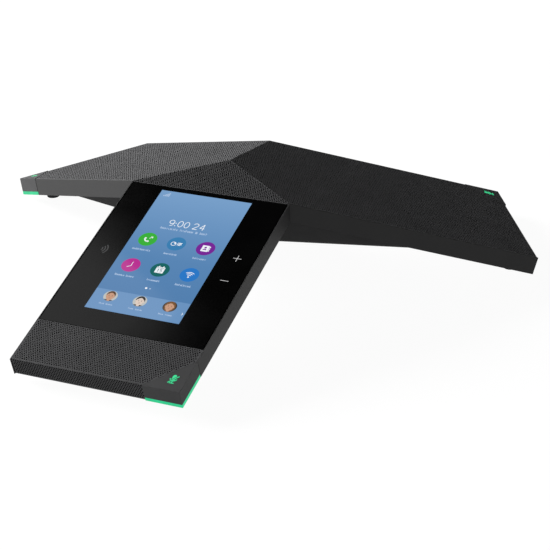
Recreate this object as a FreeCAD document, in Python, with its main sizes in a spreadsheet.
import FreeCAD, Part
import math
import os

import Sketcher

# Tabletop conference phone with three equal legs, 120 degrees apart, in millimetres.
# +Z is up and the table is z = 0. A leg's own frame has its origin on the table under the
# hub, its leg along -Y, and x across the leg. The front leg carries the display and
# points along -Y of the whole phone; the right and left legs are its copies turned by
# 120 and 240 degrees.

os.makedirs("parts", exist_ok=True)
doc = FreeCAD.newDocument("conference_phone")
Vec = FreeCAD.Vector

SIZES = (
    # Overall form: a low three-sided pyramid whose three roofs run out along the legs.
    ("hub_y", 23.7, "hub axis ahead of the middle of the phone"),
    ("half_width", 54.5, "half the width of a leg"),
    ("leg_length", 189.5, "hub axis to the end of a leg"),
    ("apex_height", 73.0, "top of the hub above the table"),
    ("fall", 0.31, "drop of a leg's roof for each mm along it"),
    ("band_height", 12.3, "upright side wall, top edge to bottom edge"),
    ("end_lean", 3.1, "how far the end wall's bottom is set in"),
    # Housings.
    ("side_wall", 2.4, "upper housing side wall"),
    ("lip", 0.6, "rim beside the sheets and the glass"),
    ("sheet_drop", 1.7, "perforated sheet thickness, measured upright"),
    ("sheet_end", 1.6, "perforated sheet thickness on the end wall"),
    ("sheet_setback", 0.7, "end of the sheet behind the end of the rim"),
    ("block_start", 177.5, "end block of the upper housing begins"),
    ("cavity_side", 160.0, "hollow's corner on the key side, along the leg"),
    ("cavity_end", 35.5, "hollow's corner on the key side, across the leg"),
    ("floor_height", 25.0, "underside of the belly above the table"),
    ("hub_reach", 28.8, "hub axis to the belly's inner corner"),
    ("belly_radius", 16.0, "rounding between the belly's floor and its flanks"),
    ("base_wall", 2.2, "lower housing wall"),
    ("tail_end", 183.6, "lower housing end, from the hub axis"),
    # Display.
    ("glass_half", 53.3, "half the width of the display glass"),
    ("glass_near", 32.0, "glass edge nearest the hub"),
    ("glass_far", 156.3, "glass edge nearest the user"),
    ("glass_depth", 1.1, "glass thickness"),
    ("panel_half", 34.0, "half the width of the display module"),
    ("panel_near", 33.6, "display module edge nearest the hub"),
    ("panel_far", 147.5, "display module edge nearest the user"),
    ("panel_depth", 2.4, "display module thickness"),
    ("bracket_half", 50.0, "half the width of the display bracket"),
    ("bracket_depth", 1.2, "display bracket thickness"),
    # Corner mute keys.
    ("seam_end", 30.6, "key seam on the end edge, across the leg"),
    ("seam_side", 165.5, "key seam on the side edge, along the leg"),
    ("seam_lean", 2.2, "how far the seam's bottom runs toward the hub"),
    ("key_gap", 0.35, "gap along the key seam"),
    ("key_proud", 0.3, "key top above the roof"),
    ("key_skirt", 9.8, "roof to the key's bottom edge"),
    ("key_stem", 4.7, "length of the stem over the switch"),
    ("key_wall", 1.8, "key wall"),
    ("light_wall", 2.4, "width of the light bar"),
    ("key_x", 46.8, "key switch, across the leg"),
    ("key_along", 181.4, "key switch, along the leg"),
    # Feet, boards, speaker and ports.
    ("foot_x", 35.5, "foot, across the leg"),
    ("foot_along", 176.5, "foot, along the leg"),
    ("foot_radius", 4.4, "rubber foot's radius on the table"),
    ("foot_spread", 6.4, "radius of the foot's cone at its top, before its slanted trim"),
    ("foot_rise", 14.0, "height of the foot's cone, before its slanted trim"),
    ("board_floor", 31.0, "underside of the main board above the table"),
    ("board_thick", 1.6, "main board and port board"),
    ("board_inset", 3.4, "key board set in from the key's outer sides"),
    ("key_board_thick", 1.0, "key board"),
    ("speaker_radius", 31.0, "loudspeaker frame"),
    ("speaker_top", 60.0, "loudspeaker rim above the table"),
    ("bay_half", 31.0, "half the width of the cable bay"),
    ("bay_front", 12.0, "port panel behind the hub axis"),
    ("bay_roof", 43.5, "cable bay ceiling above the table"),
    ("panel_thick", 2.0, "port panel"),
    ("port_floor", 28.9, "underside of the network jacks above the table"),
)

sheet = doc.addObject("Spreadsheet::Sheet", "Sizes")
for row, (alias, number, meaning) in enumerate(SIZES, start=1):
    sheet.set(f"A{row}", str(number))
    sheet.setAlias(f"A{row}", alias)
    sheet.set(f"B{row}", meaning)
doc.recompute()
size = {alias: float(sheet.get(alias)) for alias, number, meaning in SIZES}

LEGS = {"front": 0.0, "right": 120.0, "left": 240.0}
TILT = math.degrees(math.atan(size["fall"]))
# The thickness of a slab measured upright, for each mm measured square to its face.
UPRIGHT = 1.0 / math.cos(math.radians(TILT))
DIAGONAL = 1.0 / math.sqrt(3.0)
FAR = 400.0
THROUGH = "400"

sub_parts = []


def leg_placement(leg):
    """A leg's own frame, seen in the phone's frame."""
    turn = FreeCAD.Rotation(Vec(0, 0, 1), LEGS[leg])
    return FreeCAD.Placement(Vec(0, size["hub_y"], 0), turn)


def roof(along):
    """Height of the roof at a distance along a leg."""
    return size["apex_height"] - size["fall"] * along


def tilted(leg, x, along, depth):
    """A frame lying on the roof at a depth square to it, its Y running up the slope."""
    slope = FreeCAD.Rotation(Vec(1, 0, 0), TILT)
    spot = Vec(x, -along, roof(along)) - slope.multVec(Vec(0, 0, depth))
    return leg_placement(leg).multiply(FreeCAD.Placement(spot, slope))


def upright(leg, x, along, height):
    """A frame standing upright in a leg at a height above the table."""
    return leg_placement(leg).multiply(FreeCAD.Placement(Vec(x, -along, height), FreeCAD.Rotation()))


def keep(item, label):
    """Names a finished sub-part."""
    item.Label = label
    sub_parts.append(item)
    return item


def bind(item, **expressions):
    """Ties an object's properties to the sheet."""
    for name, expression in expressions.items():
        item.setExpression(name, expression)


# Sketched bodies.


def new_body(name, leg):
    body = doc.addObject("PartDesign::Body", name)
    body.Placement = leg_placement(leg)
    body.setExpression(".Placement.Base.y", "Sizes.hub_y")
    return body


def outline(body, role, corners):
    """A closed sketch whose corners are pairs of expressions on the sheet."""
    sketch = body.newObject("Sketcher::SketchObject", "Outline")
    plane = [item for item in body.Origin.OriginFeatures if item.Role == role][0]
    sketch.AttachmentSupport = [(plane, "")]
    sketch.MapMode = "FlatFace"
    spots = []
    for across, up in corners:
        here = [float(sketch.evalExpression(text)) for text in (across, up)]
        spots.append(Vec(here[0], here[1], 0))
    count = len(spots)
    for index in range(count):
        sketch.addGeometry(Part.LineSegment(spots[index], spots[(index + 1) % count]), False)
    for index in range(count):
        sketch.addConstraint(Sketcher.Constraint("Coincident", index, 2, (index + 1) % count, 1))
    for index, pair in enumerate(corners):
        for kind, text, number, axis in (
            ("DistanceX", pair[0], spots[index].x, -2),
            ("DistanceY", pair[1], spots[index].y, -1),
        ):
            if text == "0":
                sketch.addConstraint(Sketcher.Constraint("PointOnObject", index, 1, axis))
                continue
            place = sketch.addConstraint(Sketcher.Constraint(kind, -1, 1, index, 1, number))
            sketch.setExpression(f"Constraints[{place}]", text)
    return sketch


def pad_across(body, corners, width):
    """Extrudes a side view of the leg equally to both sides."""
    step = body.newObject("PartDesign::Pad", "Pad")
    step.Profile = outline(body, "YZ_Plane", corners)
    step.Midplane = True
    step.setExpression("Length", width)
    body.Tip = step
    return step


def pocket(body, role, corners, width):
    """Cuts an outline through the body, equally to both sides of its plane."""
    step = body.newObject("PartDesign::Pocket", "Pocket")
    step.Profile = outline(body, role, corners)
    step.Midplane = True
    step.setExpression("Length", width)
    body.Tip = step
    return step


def on_roof(along, drop="0"):
    """A side view corner at a distance along the leg and a drop under the roof."""
    return (f"-({along})", f"Sizes.apex_height - Sizes.fall * ({along}) - ({drop})")


def cut_to_third(body):
    """Trims a leg along the two upright planes where it meets its neighbours."""
    wide = "(Sizes.half_width + 5)"
    slant = f"-{wide} / sqrt(3)"
    corners = [("0", "0"), (wide, slant), (wide, "5"), (f"-{wide}", "5"), (f"-{wide}", slant)]
    pocket(body, "XY_Plane", corners, THROUGH)


def housing_arm():
    """One third of the upper housing: side rims, end block and the seats for the sheets."""
    body = new_body("housing_arm", "front")
    end = "Sizes.leg_length"
    low_end = "Sizes.leg_length - Sizes.end_lean"
    profile = [
        ("0", "Sizes.apex_height"),
        on_roof(end),
        on_roof(low_end, "Sizes.band_height"),
        ("0", "Sizes.apex_height - Sizes.band_height"),
    ]
    pad_across(body, profile, "2 * Sizes.half_width")
    cut_to_third(body)
    inner = "(Sizes.half_width - Sizes.side_wall)"
    hollow = [
        ("0", "0"),
        (inner, f"-{inner} / sqrt(3)"),
        (inner, "-Sizes.cavity_side"),
        ("Sizes.cavity_end", "-Sizes.block_start"),
        (f"-{inner}", "-Sizes.block_start"),
        (f"-{inner}", f"-{inner} / sqrt(3)"),
    ]
    pocket(body, "XY_Plane", hollow, THROUGH)
    seat_top = "(Sizes.leg_length - Sizes.sheet_setback - Sizes.sheet_end)"
    seat_low = f"({seat_top} - Sizes.end_lean)"
    seats = [
        ("0", "Sizes.apex_height + 5"),
        ("0", "Sizes.apex_height - Sizes.sheet_drop"),
        on_roof(seat_top, "Sizes.sheet_drop"),
        on_roof(seat_low, "Sizes.band_height"),
        on_roof(f"({end} + 5)", "Sizes.band_height + 5"),
        (f"-({end} + 5)", "Sizes.apex_height + 5"),
    ]
    pocket(body, "YZ_Plane", seats, "2 * (Sizes.half_width - Sizes.lip)")
    tail_room = [
        ("0", "Sizes.apex_height - Sizes.band_height - 5"),
        ("0", "Sizes.apex_height - Sizes.band_height + Sizes.base_wall"),
        on_roof(end, "Sizes.band_height - Sizes.base_wall"),
        on_roof(end, "Sizes.band_height + 5"),
    ]
    pocket(body, "YZ_Plane", tail_room, f"2 * {inner}")
    return body


def sheet_body(label, leg, near, far, with_end):
    """A perforated sheet on a leg's roof, bent down over the end wall where asked."""
    body = new_body(label + "_blank", leg)
    first = on_roof(near)
    last = on_roof(near, "Sizes.sheet_drop")
    at_hub = near == "0"
    if at_hub:
        first = ("0", "Sizes.apex_height")
        last = ("0", "Sizes.apex_height - Sizes.sheet_drop")
    profile = [first, on_roof(far)]
    if with_end:
        inside = f"({far} - Sizes.sheet_end)"
        profile.append(on_roof(f"({far} - Sizes.end_lean)", "Sizes.band_height"))
        profile.append(on_roof(f"({inside} - Sizes.end_lean)", "Sizes.band_height"))
        profile.append(on_roof(inside, "Sizes.sheet_drop"))
    else:
        profile.append(on_roof(far, "Sizes.sheet_drop"))
    profile.append(last)
    pad_across(body, profile, "2 * (Sizes.half_width - Sizes.lip)")
    if at_hub:
        cut_to_third(body)
    return body


# Corner keys: blocks bounded by the side wall, the leaning end wall and the key seam.


def key_corner_points(depth, inset_side, inset_end, inset_seam):
    """The three corners of the key's plan at an upright depth under the roof."""
    share = depth / size["band_height"]
    side = size["half_width"] - inset_side
    end = size["leg_length"] - size["end_lean"] * share - inset_end
    rise = size["leg_length"] - size["seam_side"]
    run = size["half_width"] - size["seam_end"]
    length = math.hypot(run, rise)
    shift = (inset_seam - size["seam_lean"] * share) * length / rise
    at_end = size["seam_end"] + shift + (size["leg_length"] - end) * run / rise
    at_side = size["leg_length"] - (side - size["seam_end"] - shift) * rise / run
    plan = ((at_end, end), (side, end), (side, at_side))
    return [Vec(x, -along, roof(along) - depth) for x, along in plan]


def key_block(top, bottom, inset_side, inset_end, inset_seam):
    """A solid between two depths under the roof, set in from the key's three sides."""
    upper = key_corner_points(top, inset_side, inset_end, inset_seam)
    lower = key_corner_points(bottom, inset_side, inset_end, inset_seam)
    faces = [Part.Face(Part.makePolygon(ring + [ring[0]])) for ring in (upper, lower)]
    for index in range(3):
        after = (index + 1) % 3
        ring = [upper[index], upper[after], lower[after], lower[index]]
        faces.append(Part.Face(Part.makePolygon(ring + [ring[0]])))
    solid = Part.makeSolid(Part.makeShell(faces))
    return solid if solid.Volume > 0 else solid.reversed()


def feature(name, shape, place):
    item = doc.addObject("Part::Feature", name)
    item.Shape = shape
    item.Placement = place
    return item


def make_mute_key(leg):
    """The corner cap: a hollow triangular key with a stem over its switch."""
    wall = size["key_wall"]
    skirt = size["key_skirt"]
    cap = key_block(-size["key_proud"], skirt, 0, 0, size["key_gap"])
    hollow = key_block(wall, skirt + 1, wall, wall, wall + size["key_gap"])
    heel = key_block(skirt - 1, skirt + 1, wall, wall, -1)
    cap = cap.cut(hollow).cut(heel)
    ceiling = roof(size["key_along"]) - wall
    stem_radius = 1.8
    spot = Vec(size["key_x"], -size["key_along"], ceiling - size["key_stem"])
    stem = Part.makeCylinder(stem_radius, size["key_stem"] + 1, spot)
    cap = cap.fuse(stem).cut(symbol_solid(leg, 1)).removeSplitter()
    return keep(feature("cap_" + leg, cap, leg_placement(leg)), "mute_key_" + leg)


def symbol_solid(leg, extra):
    """A microphone-shaped light window let into the key's top."""
    half_length = 2.3
    radius = 1.5
    depth = 0.8
    slope = FreeCAD.Rotation(Vec(1, 0, 0), TILT)
    base = Vec(-radius, -half_length, -depth)
    bar = Part.makeBox(2 * radius, 2 * half_length, depth + extra, base)
    ends = [Part.makeCylinder(radius, depth + extra, Vec(0, y, -depth)) for y in (-half_length, half_length)]
    solid = bar.fuse(ends[0]).fuse(ends[1]).removeSplitter()
    top = size["key_proud"] * math.cos(math.radians(TILT))
    spot = Vec(size["key_x"], -size["key_along"], roof(size["key_along"])) + slope.multVec(Vec(0, 0, top))
    solid.Placement = FreeCAD.Placement(spot, slope)
    return solid


def make_mute_symbol(leg):
    solid = symbol_solid(leg, 0)
    place = leg_placement(leg).multiply(solid.Placement)
    return keep(feature("symbol_" + leg, solid, place), "mute_symbol_" + leg)


def make_mute_light(leg):
    """The light bar under the cap, along the side wall and the end wall."""
    skirt = size["key_skirt"]
    width = size["light_wall"]
    bar = key_block(skirt, size["band_height"], 0, 0, size["key_gap"])
    inside = key_block(skirt - 1, size["band_height"] + 1, width, width, -20)
    return keep(feature("bar_" + leg, bar.cut(inside), leg_placement(leg)), "mute_light_" + leg)


def seam_room():
    """The corner beyond the key seam, well past the key on its other sides."""
    above = -8
    under = 20
    beyond = -9
    return key_block(above, under, beyond, beyond, 0)


def key_notches():
    """Everything that the three keys need free, in the housing and the sheets."""
    notch = seam_room()
    shapes = []
    for leg in LEGS:
        piece = notch.copy()
        piece.Placement = leg_placement(leg)
        shapes.append(piece)
    return Part.makeCompound(shapes)


def make_key_switch(leg):
    width = 4.2
    sunk = 0.25
    board_under = size["band_height"] - size["base_wall"]
    board_depth = board_under - size["key_board_thick"]
    height = roof(size["key_along"]) - board_depth - sunk
    place = upright(leg, size["key_x"] - width / 2, size["key_along"] + width / 2, height)
    switch = doc.addObject("Part::Box", "switch_" + leg)
    switch.Length = width
    switch.Width = width
    switch.Height = 1.8
    switch.Placement = place
    inset = size["board_inset"]
    board = key_block(board_depth, board_under, inset, inset, 2.8)
    board.Placement = leg_placement(leg)
    trimmed = board.cut(switch.Shape)
    keep(feature("board_" + leg, trimmed, FreeCAD.Placement()), "key_board_" + leg)
    return keep(switch, "key_switch_" + leg)


# Lower housing.


def below(shape, point, normal):
    """Keeps what lies behind a plane through a point, against its normal."""
    slab = Part.makeBox(2 * FAR, 2 * FAR, FAR, Vec(-FAR, -FAR, 0))
    slab.Placement = FreeCAD.Placement(point, FreeCAD.Rotation(Vec(0, 0, 1), normal))
    return shape.cut(slab)


def belly(inset, roof_drop):
    """A leg's share of the belly: a flat floor and slanted flanks up to the side rims."""
    half = size["half_width"]
    floor = size["floor_height"]
    reach = (size["apex_height"] - size["band_height"] - floor) / size["fall"]
    inner = size["hub_reach"]
    corner_in = Vec(inner * math.cos(math.radians(30)), -inner / 2, floor)
    corner_out = Vec(half, -reach, floor)
    rim = Vec(half, -half * DIAGONAL, roof(half * DIAGONAL) - size["band_height"])
    flank = (corner_out - corner_in).cross(rim - corner_in).normalize()
    if flank.x < 0:
        flank = flank * -1
    block = Part.makeBox(2 * half, reach + 60, 80, Vec(-half, -reach - 60, floor + inset))
    block = below(block, Vec(0, 0, size["apex_height"] - roof_drop), Vec(0, -size["fall"], 1))
    for side in (1, -1):
        out = Vec(side * flank.x, flank.y, flank.z)
        edge = Vec(side * corner_in.x, corner_in.y, corner_in.z) - out * inset
        block = below(block, edge, out)
    chines = []
    for edge in block.Edges:
        ends = [vertex.Point for vertex in edge.Vertexes]
        level = all(abs(point.z - floor - inset) < 0.01 for point in ends)
        lengthwise = abs(ends[0].y - ends[-1].y) > half
        if level and lengthwise:
            chines.append(edge)
    block = block.makeFillet(size["belly_radius"] - inset, chines)
    for side in (1, -1):
        block = below(block, Vec(0, 0, 0), Vec(side * 0.5, math.cos(math.radians(30)), 0))
    return block


def three_times(shape):
    """The shape on each of the three legs, joined."""
    copies = []
    for leg in LEGS:
        piece = shape.copy()
        piece.Placement = leg_placement(leg).multiply(piece.Placement)
        copies.append(piece)
    return copies[0].fuse(copies[1:])


def tail_plate():
    """The leg's flat underside between the belly and the end wall."""
    half = size["half_width"] - size["side_wall"]
    start = 100.0
    corners = []
    for along, lift in ((start, 0), (size["tail_end"], 0), (size["tail_end"], 1), (start, 1)):
        height = roof(along) - size["band_height"] + lift * size["base_wall"]
        corners.append(Vec(-half, -along, height))
    plate = Part.Face(Part.makePolygon(corners + [corners[0]])).extrude(Vec(2 * half, 0, 0))
    plate = plate.cut(seam_room())
    tongue_top = size["band_height"] - size["base_wall"]
    inset = size["board_inset"]
    tongue = key_block(tongue_top, size["band_height"], inset, inset, -4)
    return plate.fuse(tongue)


def make_lower_housing(screw_holes):
    """The base: belly, leg undersides and the cable bay."""
    band = size["band_height"]
    outer = three_times(belly(0, band))
    shell = outer.fuse(three_times(tail_plate()))
    shell = shell.cut(three_times(belly(size["base_wall"], band - 14)))
    wall = 2.0
    half = size["bay_half"]
    front = size["hub_y"] + size["bay_front"]
    floor = size["floor_height"]
    height = size["bay_roof"] - floor
    liner = Part.makeBox(2 * half + 2 * wall, 120, height + wall, Vec(-half - wall, front - wall, floor))
    bay = Part.makeBox(2 * half, 120, height + 5, Vec(-half, front, floor - 5))
    window_corner = Vec(-half + 3, front - 1.5 * wall, floor + 1.5)
    window = Part.makeBox(2 * half - 6, 2 * wall, height - 3, window_corner)
    shell = shell.fuse(liner.common(outer)).cut(bay).cut(window).cut(screw_holes)
    return keep(feature("base", shell.removeSplitter(), FreeCAD.Placement()), "lower_housing")


# Fasteners.

SCREW_SPOTS = ((-26.0, 180.5), (14.0, 180.5))


def screw_solids(head_room):
    """Six screws up through the base into the end blocks, or the holes that they need."""
    solids = []
    for leg in LEGS:
        for x, along in SCREW_SPOTS:
            bottom = size["band_height"] * math.cos(math.radians(TILT))
            place = tilted(leg, x, along, bottom)
            head = Part.makeCylinder(2.4, 1.1 + head_room, Vec(0, 0, 0.3 - head_room))
            shank = Part.makeCylinder(1.25, 5.6, Vec(0, 0, 1.2))
            screw = head.fuse(shank)
            if not head_room:
                screw = screw.cut(Part.makeCylinder(0.9, 0.6, Vec(0, 0, 0)))
            screw.Placement = place
            solids.append(screw)
    return Part.makeCompound(solids)


# Simple pieces from primitives.


def tilted_box(label, leg, x, far, width, length, thick, depth):
    """A flat piece lying parallel to the roof; its sizes are expressions on the sheet."""
    box = doc.addObject("Part::Box", label)
    bind(box, Length=width, Width=length, Height=thick)
    low = depth + float(box.evalExpression(thick))
    box.Placement = tilted(leg, x, far, low)
    return keep(box, label)


def upright_box(label, leg, x, far, height, width, length, thick):
    """A level piece inside a leg; x and far give its corner nearest the user."""
    box = doc.addObject("Part::Box", label)
    bind(box, Length=width, Width=length, Height=thick)
    box.Placement = upright(leg, x, far, height)
    return keep(box, label)


def turned_piece(label, corners):
    """A piece of revolution round the hub axis from a half section of expressions."""
    body = new_body(label, "front")
    feature_item = body.newObject("PartDesign::Revolution", "Revolution")
    sketch = outline(body, "XZ_Plane", corners)
    feature_item.Profile = sketch
    feature_item.ReferenceAxis = (sketch, ["V_Axis"])
    feature_item.Angle = 360
    body.Tip = feature_item
    return keep(body, label)


def make_display():
    along = "/ cos(atan(Sizes.fall))"
    glass = f"(Sizes.glass_far - Sizes.glass_near - 0.6) {along}"
    tilted_box("display_glass", "front", -size["glass_half"], size["glass_far"],
               "2 * Sizes.glass_half", glass, "Sizes.glass_depth", 0)
    panel = f"(Sizes.panel_far - Sizes.panel_near) {along}"
    tilted_box("display_panel", "front", -size["panel_half"], size["panel_far"],
               "2 * Sizes.panel_half", panel, "Sizes.panel_depth", size["glass_depth"])
    under_panel = size["glass_depth"] + size["panel_depth"]
    tilted_box("display_bracket", "front", -size["bracket_half"], size["panel_far"] + 6,
               "2 * Sizes.bracket_half", f"(Sizes.panel_far - Sizes.panel_near) {along}",
               "Sizes.bracket_depth", under_panel)
    tilted_box("near_field_coil", "front", -52, 103, "16", "20", "0.3", size["glass_depth"])
    tilted_box("volume_touch_strip", "front", 36, 112, "13", "40", "0.3", size["glass_depth"])


def make_boards():
    board_top = size["board_floor"] + size["board_thick"]
    upright_box("main_board", "front", -25, 96, size["board_floor"], "50", "72", "Sizes.board_thick")
    upright_box("processor", "front", -8, 90, board_top, "16", "16", "1.6")
    upright_box("heat_spreader", "front", -22, 95, board_top + 1.6, "44", "29", "1.2")
    upright_box("power_module", "front", -22, 46, board_top, "30", "18", "7")
    upright_box("wireless_module", "front", 11, 46, board_top, "13", "18", "2.4")
    upright_box("display_cable", "front", -9, 60.2, board_top, "18", "0.3", "15.6")
    upright_box("rating_plate", "front", -20, 80, size["floor_height"] - 0.3, "40", "24", "0.3")
    for leg in ("right", "left"):
        tilted_box("antenna_" + leg, leg, -40, 150, "12", "46", "0.8", 3.5)


def make_speaker():
    def ring(*pairs):
        edge = "Sizes.speaker_radius - "
        rim = "Sizes.speaker_top - "
        return [(edge + str(inward), rim + f"({down})") for inward, down in pairs]

    turned_piece("speaker_frame", ring(
        (4, 0), (0, 0), (0, 2.5), (3, 2.5), (14, 11), (20, 11),
        (20, 9.5), (14.6, 9.5), (4.4, 1.5), (4, 1.5)))
    turned_piece("speaker_magnet", [
        ("0", "Sizes.speaker_top - 14.2"),
        ("Sizes.speaker_radius / 2", "Sizes.speaker_top - 14.2"),
        ("Sizes.speaker_radius / 2", "Sizes.speaker_top - 11"),
        ("0", "Sizes.speaker_top - 11")])
    turned_piece("speaker_cone", [
        ("0", "Sizes.speaker_top - 7.4"),
        ("8", "Sizes.speaker_top - 7.4"),
        ("Sizes.speaker_radius - 8", "Sizes.speaker_top - 1.4"),
        ("Sizes.speaker_radius - 8", "Sizes.speaker_top - 0.8"),
        ("8", "Sizes.speaker_top - 6.8"),
        ("0", "Sizes.speaker_top - 5.2")])
    turned_piece("speaker_surround", ring(
        (8, 1.4), (8, 0.8), (6.8, -0.2), (5.2, -0.2), (4, 0.8), (4, 1.4), (5.4, 0.5), (6.6, 0.5)))


def make_microphones():
    """Each leg's microphone in its rubber boot, under the sheet near the end."""
    sheet_under = size["sheet_drop"] / UPRIGHT
    boot_height = 4.0
    for leg in LEGS:
        place = tilted(leg, -14, 168, sheet_under + boot_height)
        boot = doc.addObject("Part::Cylinder", "boot_outer_" + leg)
        boot.Radius = 4.5
        boot.Height = boot_height
        boot.Placement = place
        capsule = doc.addObject("Part::Cylinder", "microphone_" + leg)
        capsule.Radius = 2.0
        capsule.Height = 1.5
        capsule.Placement = place.multiply(FreeCAD.Placement(Vec(0, 0, 1.5), FreeCAD.Rotation()))
        bore = doc.addObject("Part::Cylinder", "boot_bore_" + leg)
        bore.Radius = 2.0
        bore.Height = boot_height
        bore.Placement = capsule.Placement
        hollow = doc.addObject("Part::Cut", "boot_" + leg)
        hollow.Base = boot
        hollow.Tool = bore
        keep(hollow, "microphone_boot_" + leg)
        keep(capsule, "microphone_" + leg)


def make_feet():
    """Tapered rubber feet, their tops slanted to lie flat under the legs."""
    room = 60.0
    under = size["band_height"] * math.cos(math.radians(TILT))
    for leg in LEGS:
        for number, x in enumerate((-size["foot_x"], size["foot_x"]), start=1):
            cone = doc.addObject("Part::Cone", f"foot_cone_{leg}_{number}")
            bind(cone, Radius1="Sizes.foot_radius", Radius2="Sizes.foot_spread", Height="Sizes.foot_rise")
            cone.Placement = upright(leg, x, size["foot_along"], 0)
            trim = doc.addObject("Part::Box", f"foot_trim_{leg}_{number}")
            trim.Length = room
            trim.Width = room
            trim.Height = room
            trim.Placement = tilted(leg, x - room / 2, size["foot_along"] + room / 2, under)
            keep(cut_pair(f"foot_cut_{leg}_{number}", cone, trim), f"foot_{leg}_{number}")


# Ports: they face the back of the phone, in the cable bay.


def port_box(name, x, front, height, width, depth, tall):
    """A block whose mouth side faces +Y; front is its distance behind the hub axis."""
    box = doc.addObject("Part::Box", name)
    box.Length = width
    box.Width = depth
    box.Height = tall
    spot = Vec(x - width / 2, size["hub_y"] + front - depth, height)
    box.Placement = FreeCAD.Placement(spot, FreeCAD.Rotation())
    return box


def cut_pair(name, base, tool):
    item = doc.addObject("Part::Cut", name)
    item.Base = base
    item.Tool = tool
    return item


LAN_X = (-18.5, 0.0)
LAN_SIZE = (15.8, 20.0, 12.6)
LAN_MOUTH = (11.8, 12.5, 8.0)
USB_X = 18.5
USB_SIZE = (13.2, 14.0, 6.2)
USB_MOUTH = (12.2, 11.0, 5.2)


def make_ports():
    """Two network jacks and a small data port, on their board behind the port panel."""
    face = size["bay_front"]
    floor = size["port_floor"]
    usb_floor = floor + 3.2
    usb_wall = 0.5
    cutters = []
    for number, x in enumerate(LAN_X, start=1):
        width, depth, tall = LAN_SIZE
        mouth_width, mouth_depth, mouth_tall = LAN_MOUTH
        block = port_box(f"lan_block_{number}", x, face, floor, width, depth, tall)
        mouth = port_box(f"lan_mouth_{number}", x, face + 1, floor + 3.4,
                         mouth_width, mouth_depth + 1, mouth_tall)
        latch = port_box(f"lan_latch_{number}", x, face + 1, floor + 1.2, 6, mouth_depth + 1, 3)
        opened = cut_pair(f"lan_open_{number}", block, mouth)
        keep(cut_pair(f"lan_{number}", opened, latch), f"lan_jack_{number}")
        cutters.append(port_box(f"panel_lan_{number}", x, face + 1, floor, width, 9, tall))
    width, depth, tall = USB_SIZE
    mouth_width, mouth_depth, mouth_tall = USB_MOUTH
    shell = port_box("usb_block", USB_X, face, usb_floor, width, depth, tall)
    mouth = port_box("usb_mouth", USB_X, face + 1, usb_floor + usb_wall,
                     mouth_width, mouth_depth + 1, mouth_tall)
    tongue = port_box("usb_tongue", USB_X, face - 1, usb_floor + 3.4, 10.8, mouth_depth, 1.6)
    usb = doc.addObject("Part::Fuse", "usb")
    usb.Base = cut_pair("usb_open", shell, mouth)
    usb.Tool = tongue
    keep(usb, "usb_port")
    cutters.append(port_box("panel_usb", USB_X, face + 1, usb_floor, width, 9, tall))
    margin = 1.5
    panel = port_box("panel_block", 0, face, size["floor_height"] + margin,
                     2 * (size["bay_half"] - 2 * margin), size["panel_thick"],
                     size["bay_roof"] - size["floor_height"] - 2 * margin)
    holes = doc.addObject("Part::MultiFuse", "panel_holes")
    holes.Shapes = cutters
    keep(cut_pair("panel", panel, holes), "port_panel")
    thick = size["board_thick"]
    keep(port_box("port_board", 0, 2, floor - thick, 54, 10.4, thick), "port_board")


def make_upper_housing(notches, screw_holes):
    """The three arms joined, less the key corners and the screw holes."""
    arm = housing_arm()
    doc.recompute()
    pattern = doc.addObject("Part::Feature", "housing_star")
    own = arm.Shape.copy()
    own.Placement = leg_placement("front").inverse().multiply(own.Placement)
    pattern.Shape = three_times(own)
    doc.recompute()
    shape = pattern.Shape.cut(notches).cut(screw_holes).removeSplitter()
    return keep(feature("housing", shape, FreeCAD.Placement()), "upper_housing")


def make_sheets(notches):
    """The perforated sheets, drawn here without their holes."""
    end = "(Sizes.leg_length - Sizes.sheet_setback)"
    plans = (
        ("grille_right", "right", "0", end, True),
        ("grille_left", "left", "0", end, True),
        ("grille_hub", "front", "0", "Sizes.glass_near", False),
        ("grille_front", "front", "Sizes.glass_far + 0.3", end, True),
    )
    blanks = [(label, sheet_body(label, leg, near, far, bent)) for label, leg, near, far, bent in plans]
    doc.recompute()
    for label, blank in blanks:
        shape = blank.Shape.cut(notches).removeSplitter()
        keep(feature(label + "_sheet", shape, FreeCAD.Placement()), label)


notches = key_notches()
screw_holes = screw_solids(2)
make_upper_housing(notches, screw_holes)
make_sheets(notches)
make_lower_housing(screw_holes)
for leg_name in LEGS:
    make_mute_key(leg_name)
    make_mute_symbol(leg_name)
    make_mute_light(leg_name)
    make_key_switch(leg_name)
keep(feature("screws", screw_solids(0), FreeCAD.Placement()), "housing_screws")
make_display()
make_boards()
make_speaker()
make_microphones()
make_feet()
make_ports()

doc.recompute()
for item in doc.Objects:
    if "Invalid" in item.State or "Error" in item.State:
        raise RuntimeError(f"{item.Label} did not build: {item.State}")
for item in sub_parts:
    if item.Shape.isNull() or not item.Shape.isValid():
        raise RuntimeError(f"{item.Label} has no valid shape")
    item.Shape.exportStep(f"parts/{item.Label}.step")
